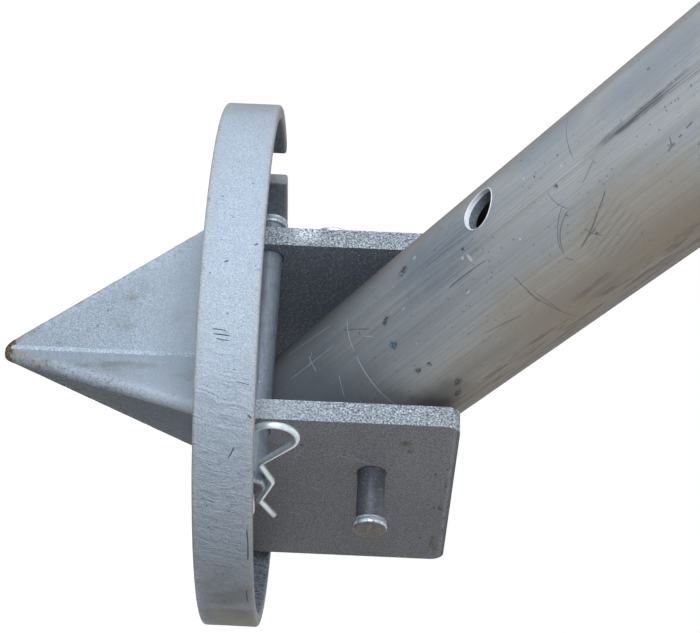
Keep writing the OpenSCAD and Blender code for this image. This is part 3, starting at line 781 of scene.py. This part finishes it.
def ear(node, side, mats):
    """An ear plate with rounded free corners, softened edges and its two pin holes."""
    outline = [(-EAR_BACK, DISC_TOP), (EAR_FRONT, DISC_TOP)]
    outline += arc(EAR_FRONT - EAR_R, EAR_TOP - EAR_R, EAR_R, 0, 90, 10)
    outline += arc(-EAR_BACK + EAR_R, EAR_TOP - EAR_R, EAR_R, 90, 180, 10)
    holes = [[(cx + x, cz + z) for x, z, _ in circle(PIN_HOLE_R, 0, 64)] for cx, cz in (PIVOT, STOP)]
    bm = bmesh.new()
    edges = []
    for loop in [outline] + holes:
        vs = [bm.verts.new((x * MM, side * EAR_IN * MM, z * MM)) for x, z in loop]
        edges += [bm.edges.new(pair) for pair in zip(vs, vs[1:] + vs[:1])]
    bmesh.ops.triangle_fill(bm, edges=edges, use_beauty=True)
    out = bmesh.ops.extrude_face_region(bm, geom=bm.faces[:])
    moved = [g for g in out["geom"] if isinstance(g, bmesh.types.BMVert)]
    bmesh.ops.translate(bm, verts=moved, vec=(0, side * (EAR_OUT - EAR_IN) * MM, 0))
    bmesh.ops.recalc_face_normals(bm, faces=bm.faces)
    for f in bm.faces:
        f.material_index = 0 if abs(f.normal.y) > 0.9 else 1
    name = node + "_plate"
    me = bpy.data.meshes.new(name)
    bm.to_mesh(me)
    bm.free()
    ob = add_object(name, me, mats, 30)
    b = ob.modifiers.new("soft_edges", "BEVEL")
    b.width, b.segments, b.limit_method, b.angle_limit = EAR_SOFT * MM, 4, "ANGLE", radians(50)
    b.harden_normals, b.material, b.miter_outer = True, 1, "MITER_ARC"
    place(ob, "foot", "foot_steel", node)


def bead(name, node, stations, leg, mat, ripple=2.6, bulge=0.16):
    """A fillet weld: stations are (corner, first wall's direction, second wall's direction, distance)."""
    rings, count, total = [], 9, stations[-1][3]
    for corner, p, q, d in stations:
        k = leg * (1 + 0.07 * rnd(d * 0.12, leg) - 0.07)
        k *= min(1.0, 0.45 + 0.55 * sqrt(min(1.0, min(d, total - d) / leg)))
        ring = [tuple(corner)]
        for i in range(count):
            f = i / (count - 1)
            scale = (d + 1.3 * (2 * f - 1) ** 2 * ripple * 0.5) / ripple + 0.35 * rnd(d * 0.15, 5.0)
            wave = abs(sin(pi * scale))
            h = bulge * sin(pi * f) - 0.075 * (1 - wave) * sin(pi * f) ** 0.5 + 0.03 * rnd(d * 0.8, f * 4)
            ring.append(tuple(corner + p * k * (1 - f) + q * k * f + (p + q) * h * k * 0.7071))
        rings.append(ring)
    place(mesh(name, *loft(rings), [mat], 50), "foot", "weld_metal", node)


def line_stations(start, direction, length, p, q):
    n = max(2, int(length / 0.5))
    return [(start + direction * length * i / n, p, q, length * i / n) for i in range(n + 1)]


def welds(plain, bright):
    up, short = Vector((0, 0, 1)), 5.0
    half_gap = asin((RIM_GAP / 2 + 0.2) / RIM_IN)
    total = 2 * pi - 2 * half_gap
    n = int(total * RIM_IN / 0.6)
    stations = []
    for i in range(n + 1):
        a = GAP_TURN - pi / 2 + half_gap + total * i / n
        out = Vector((cos(a), sin(a), 0))
        stations.append((out * RIM_IN + up * DISC_TOP, -out, up, total * RIM_IN * i / n))
    bead("rim_weld_bead", "rim_weld", stations, PLATE_WELD, plain)
    for node, side in (("near_ear_weld", 1), ("far_ear_weld", -1)):
        for k, (wall, away) in enumerate(((EAR_OUT, side), (EAR_IN, -side))):
            line = line_stations(Vector((-EAR_BACK + short, side * wall, DISC_TOP)), Vector((1, 0, 0)),
                                 EAR_BACK + EAR_FRONT - 2 * short, Vector((0, away, 0)), up)
            bead(f"{node}_bead_{k}", node, line, PLATE_WELD, plain)
    # Valley beads, in the lighter weld that paints a highlight along each valley
    corner = BLADE / 2 / sin(radians(60))
    low = -SPIKE + (corner + VALLEY_WELD - TIP) * SPIKE / (REACH - TIP)
    for k, (angle, _) in enumerate(BLADES.values()):
        m = rotation(angle + 60, "Z", 3)
        p, q = (m @ Vector((cos(a), sin(a), 0)) for a in (radians(60), radians(-60)))
        line = line_stations(m @ Vector((corner, 0, low)), up, -low, p, q)
        bead(f"blade_valley_bead_{k}", "blade_valley_welds", line, VALLEY_WELD, bright, 2.0, 0.02)
    for k, (angle, _) in enumerate(BLADES.values()):
        m = rotation(angle, "Z", 3)
        for side, letter in ((1, "a"), (-1, "b")):
            line = line_stations(m @ Vector((BLADE, side * BLADE / 2, DISC_LOW)), m @ Vector((1, 0, 0)),
                                 REACH - short - BLADE, m @ Vector((0, side, 0)), -up)
            bead(f"blade_base_bead_{k}_{letter}", "blade_base_welds", line, BLADE_WELD, plain)


def pin(name, body, node, matrix, inset, clip_turn, mats):
    """A headed pin along its own Z, its head's underside at 0, drilled for its clip."""
    profile = [(0.0, -HEAD_H), (5.0, -HEAD_H), (7.4, 0.05 - HEAD_H)] + arc(7.9, 1.5 - HEAD_H, 1.5, -80, 0, 5)
    profile += [(9.45, -2.6), (9.3, -1.5)]
    profile += [(8.5 + 0.75 * cos(a), -0.8 + 0.75 * sin(a)) for a in (0.3, 0.8, 1.3)]
    profile += [(7.95, -0.02), (7.55, 0.25)]
    shaft = [0.9] + list(range(8, 156, 12)) + [PIN_LEN - d for d in (12, 8.5, 2.5, 1.2)]
    profile += [(PIN_R, z) for z in shaft]
    profile += [(PIN_R - 1.0, PIN_LEN - 0.12), (PIN_R - 1.5, PIN_LEN), (0.0, PIN_LEN)]
    seg = 72
    verts, faces, edge, face, rows = [], [], [], [], []
    for r, z in profile:
        row = []
        # edge is 1 on the head's two rims and the end's corner, face on the two flat ends
        for x, y, _ in circle(1.0, z, seg) if r else [(0.0, 0.0, z)]:
            k = r * (1 - 0.008 * (1 + rnd(x * 1.3, y * 1.3, z * 0.3 + len(name)))) if z < 0.2 else r
            row.append(len(verts))
            verts.append((k * x, k * y, z))
            edge.append(float(-4.6 < z < -3.0 or -0.9 < z < -0.03 or z > PIN_LEN - 1.4 and r > 5.9))
            face.append(float(z < -4.6 or z >= PIN_LEN - 0.13))
        rows.append(row)
    for a, b in zip(rows, rows[1:]):
        for i in range(seg):
            j = (i + 1) % seg
            if len(a) == 1:
                faces.append((a[0], b[i], b[j]))
            elif len(b) == 1:
                faces.append((a[i], a[j], b[0]))
            else:
                faces.append((a[i], a[j], b[j], b[i]))
    ob = mesh(name, verts, faces, mats, 40, matrix=matrix, attrs={"edge": edge, "face": face})
    at = Matrix.Translation((0, 0, (PIN_LEN - inset) * MM))
    hole = matrix @ at @ rotation(clip_turn, "Z") @ rotation(90, "Y")
    cut(ob, [cutter(CLIP_HOLE_R, 30, hole, mats)])
    place(ob, body, "pin_steel", node)


def bend(a, b, c, r, steps=8):
    """Points of the round bend that replaces the corner b of the path a, b, c."""
    a, b, c = Vector(a), Vector(b), Vector(c)
    into, out = (b - a).normalized(), (c - b).normalized()
    turn = into.angle(out)
    hand = 1 if into.x * out.y - into.y * out.x > 0 else -1
    start = b - into * r * tan(turn / 2)
    centre = start + hand * r * Vector((-into.y, into.x))
    first = degrees(atan2(start.y - centre.y, start.x - centre.x))
    return arc(centre.x, centre.y, r, first, first + hand * degrees(turn), steps)


def clip(name, body, node, matrix, mat):
    """The spring clip's wire, swept along its straight leg, eye and wavy leg."""
    # The eye's middle and radius and the slope that the wire leaves it at, then the wavy leg's corners
    (ex, ey), eye_r, slant = (45.0, 11.6), 11.6, radians(40)
    eye_end = (ex - eye_r * sin(slant), ey + eye_r * cos(slant))
    waist_in, belly, waist_out, tip = (17.4, 4.3), (-1.0, 11.05), (-22.5, 4.1), (-38.8, 11.9)
    path = [(-CLIP_TAIL, 0.0), (0.4 - CLIP_TAIL, 0.0)]
    path += [((ex + CLIP_TAIL) * k / 12 - CLIP_TAIL, 0.0) for k in range(1, 12)]
    path += arc(ex, ey, eye_r, -90, 130, 44)
    path += bend(eye_end, waist_in, belly, 4)
    path += bend(waist_in, belly, waist_out, 6)
    path += bend(belly, waist_out, tip, 4)
    end = Vector(tip) - Vector(waist_out)
    path += [tuple(Vector(tip) - end.normalized() * 0.4), tip]
    rings, last = [], len(path) - 1
    for i, (x, y) in enumerate(path):
        h = (Vector(path[min(last, i + 1)]) - Vector(path[max(0, i - 1)])).normalized()
        r = WIRE_R * (0.8 if i in (0, last) else 1.0)
        rings.append([(x - h.y * across, y + h.x * across, z) for across, z, _ in circle(r, 0, 20)])
    place(mesh(name, *loft(rings), [mat], 60, matrix=matrix), body, "zinc_wire", node)


def tube(name, body, slot, node, radii, ends, holes, mats, pin_hole):
    """A tube along the leg's Z with eased ends, pierced by its holes. Cut faces take the second material."""
    (r_out, r_in), (low, high), ease = radii, ends, 0.5
    stations = {round(low + (high - low) * i / 26, 3) for i in range(27)}
    for s in holes + ([0.0] if pin_hole else []):
        stations |= {round(s + d, 3) for d in range(-15, 16, 3)}
    stations = sorted(z for z in stations if low + 1.5 < z < high - 1.5)
    profile = [(r_in, z) for z in [low + ease] + stations + [high - ease]]
    profile += [(r_in + ease, high), (r_out - ease, high)]
    profile += [(r_out, z) for z in [high - ease] + stations[::-1] + [low + ease]]
    profile += [(r_out - ease, low), (r_in + ease, low)]
    verts, faces = loft([circle(r, z, 144) for r, z in profile], closed=True)
    ob = mesh(name, verts, faces, mats, 40, matrix=LEG_FRAME)
    across = rotation(LOCK_TURN, "Z") @ rotation(90, "Y")
    cutters = [cutter(LOCK_R, 120, LEG_FRAME @ Matrix.Translation((0, 0, s * MM)) @ across, mats) for s in holes]
    if pin_hole:
        cutters.append(cutter(PIN_HOLE_R, 120, LEG_FRAME @ rotation(90, "X"), mats))
    cut(ob, cutters)
    # True round normals on the walls, so that the cuts leave no shading marks
    me = ob.data
    normals = [(0.0, 0.0, 0.0)] * len(me.loops)
    for f in me.polygons:
        corners = [hypot(me.vertices[v].co.x, me.vertices[v].co.y) / MM for v in f.vertices]
        for r, sign in ((r_in, -1), (r_out, 1)):
            if all(abs(k - r) < 0.03 for k in corners):
                for li in f.loop_indices:
                    c = me.vertices[me.loops[li].vertex_index].co
                    normals[li] = tuple(Vector((c.x, c.y, 0)).normalized() * sign)
                break
        else:
            f.material_index = 1
    me.normals_split_custom_set(normals)
    place(ob, body, slot, node)


def burr(name, s, side, mat):
    """The thin raised burr round a lock hole, on the leg's outer face."""
    rings, turn = [], rotation(LOCK_TURN, "Z", 3)
    for cy, cz, _ in circle(1.0, 0, 96):
        k = 0.3 + 0.16 * rnd(cy * 2.0, cz * 2.0, s + side)
        y, z = (LOCK_R + 0.05) * cy, s + (LOCK_R + 0.05) * cz
        x = sqrt(LEG_R ** 2 - y * y)
        out, away = Vector((x, y, 0)).normalized(), Vector((0, cy, cz))
        ring = []
        for c, b, _ in circle(1.0, 0, 8):
            v = Vector((x, y, z)) + out * k * b * 0.7 + away * k * c
            ring.append(tuple(turn @ Vector((side * v.x, v.y, v.z))))
        rings.append(ring)
    place(mesh(name, *loft(rings, closed=True), [mat], 60, matrix=LEG_FRAME), "leg", "leg_aluminium")


# The part
steel_rim = rim_material()
steel_spike = spike_material()
# The second weld paints a highlight along the blade valleys
weld_metal, valley_highlight_weld = weld_material(), weld_material(bright=True)
cut_edge = cut_edge_material()
pivot_steel = pin_material("pivot_pin_steel", (0.098, 0.104, 0.116),
                           (0.065, 0.05, 0.037), (0.178, 0.148, 0.117))
stop_steel = pin_material("stop_pin_steel", (0.22, 0.247, 0.285), (0.03, 0.031, 0.034), (0.1, 0.1, 0.105))
zinc = zinc_material()
leg_mat = tube_material()
inner_mat = tube_material(inner=True)
machined = machined_material()
# The inner tube's cut faces, darker as painted shade
shaded_cut = machined_material(darkened=True)

rim_bar(steel_rim)
for node_name, (angle, trim) in BLADES.items():
    blade(node_name, angle, trim, steel_spike)
ear("near_ear", 1, [plate_material(False), cut_edge])
ear("far_ear", -1, [plate_material(True), cut_edge])
welds(weld_metal, valley_highlight_weld)

disc_mat = disc_material()
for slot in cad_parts["base_disc"].material_slots:
    slot.material = disc_mat

# Each pin runs away from its head along Y, side being the direction that its head faces
PINS = {"pivot": (PIVOT, PIVOT_HEAD_Y, 1, PIVOT_CLIP_INSET, PIVOT_CLIP_TURN, pivot_steel),
        "stop": (STOP, STOP_HEAD_Y, -1, STOP_CLIP_INSET, STOP_CLIP_TURN, stop_steel)}
for name, ((x, z), head_y, side, inset, turn, steel) in PINS.items():
    pin(name + "_pin_bar", name + "_pin_set", name + "_pin",
        shift(x, head_y, z) @ rotation(90 * side, "X"), inset, -turn, [steel])
for name, ((x, z), head_y, side, inset, turn, steel) in PINS.items():
    clip(name + "_clip_wire", name + "_pin_set", name + "_pin_clip",
         shift(x, head_y - side * (PIN_LEN - inset), z) @ rotation(-90 * side, "X") @ rotation(turn, "Z"), zinc)

tube("leg_tube_body", "leg", "leg_aluminium", "leg_tube", (LEG_R, LEG_IN), (LEG_LOW, LEG_HIGH), [LOCK_S],
     [leg_mat, machined], True)
tube("inner_tube_body", "leg_inner", "inner_aluminium", "inner_tube", (INNER_R, INNER_IN),
     (INNER_LOW, INNER_HIGH - 0.1), [LOCK_S + LOCK_PITCH * i for i in range(4)], [inner_mat, shaded_cut], False)
for k, side in enumerate((1, -1)):
    burr(f"lock_hole_burr_{k}", LOCK_S, side, machined)

# Camera, as solved from the photograph
PHOTO_WIDTH, FOCAL, SHIFT, SENSOR = 700, 1735.01, -0.53, 36.0
cam_data = bpy.data.cameras.new("camera")
cam = bpy.data.objects.new("camera", cam_data)
scene.collection.objects.link(cam)
right = Vector((0.01819, -0.04053, 0.99901)).normalized()
forward = Vector((-0.83097, -0.55627, -0.00743))
forward = (forward - right * forward.dot(right)).normalized()
up = right.cross(forward)
cam.matrix_world = Matrix.Translation((0.82456, 0.51706, 0.07989)) @ Matrix(
    ((right.x, up.x, -forward.x), (right.y, up.y, -forward.y), (right.z, up.z, -forward.z))).to_4x4()
cam_data.sensor_width, cam_data.lens = SENSOR, FOCAL / PHOTO_WIDTH * SENSOR
cam_data.shift_x = SHIFT / PHOTO_WIDTH
cam_data.clip_start, cam_data.clip_end = 0.05, 60.0
scene.camera = cam


# Floor, background and light
def seen(tree):
    """1 for camera, glossy and transmission rays."""
    path = add_node(tree, "LightPath").outputs
    out = path["Is Camera Ray"]
    for name in ("Is Glossy Ray", "Is Transmission Ray"):
        out = add_node(tree, "Math", {0: out, 1: path[name]}, operation="MAXIMUM").outputs[0]
    return out


SPAN, FLOOR_Z = 14.0, -0.1206
floor_mesh = bpy.data.meshes.new("floor")
floor_mesh.from_pydata([(x * SPAN, y * SPAN, FLOOR_Z) for x, y in ((-1, -1), (1, -1), (1, 1), (-1, 1))],
                       [], [(0, 1, 2, 3)])
floor = bpy.data.objects.new("floor", floor_mesh)
scene.collection.objects.link(floor)
# Seen directly, the floor also glows a little, so that it comes out white
floor_mat = bpy.data.materials.new("floor_white")
tree = fresh_tree(floor_mat)
pale = add_node(tree, "BsdfDiffuse", {0: (0.5, 0.5, 0.5)}).outputs[0]
glow = add_node(tree, "Emission", {"Strength": 0.93}).outputs[0]
both = add_node(tree, "AddShader", {0: pale, 1: glow}).outputs[0]
pick = add_node(tree, "MixShader", {0: seen(tree), 1: pale, 2: both}).outputs[0]
add_node(tree, "OutputMaterial", {0: pick})
floor_mesh.materials.append(floor_mat)

world = bpy.data.worlds.new("studio")
scene.world = world
tree = fresh_tree(world)
strength = add_node(tree, "MapRange", {0: seen(tree), 3: 0.2, 4: 1.0}).outputs[0]
sky = add_node(tree, "Background", {0: (1, 1, 1), 1: strength}).outputs[0]
add_node(tree, "OutputWorld", {0: sky})


def softbox(name, offset, size, watts, colour=(1.0, 1.0, 1.0)):
    """A rectangular lamp that faces the part's middle."""
    data = bpy.data.lights.new(name, "AREA")
    data.shape, data.size, data.size_y = "RECTANGLE", size[0], size[1]
    data.energy, data.color = watts, colour
    ob = bpy.data.objects.new(name, data)
    scene.collection.objects.link(ob)
    ob.location = Vector((0.08, 0.0, 0.06)) + Vector(offset)
    ob.rotation_mode = "QUATERNION"
    ob.rotation_quaternion = (-Vector(offset)).to_track_quat("-Z", "Y")


softbox("key", (1.57, 0.03, -0.26), (1.3, 1.5), 61.5, (0.89, 1.0, 1.12))
softbox("fill", (0.3, 1.6, 0.1), (1.2, 1.2), 2.6)
softbox("top", (-0.1, 0.0, 1.7), (1.6, 1.6), 4.0)

scene.view_settings.view_transform = "Standard"
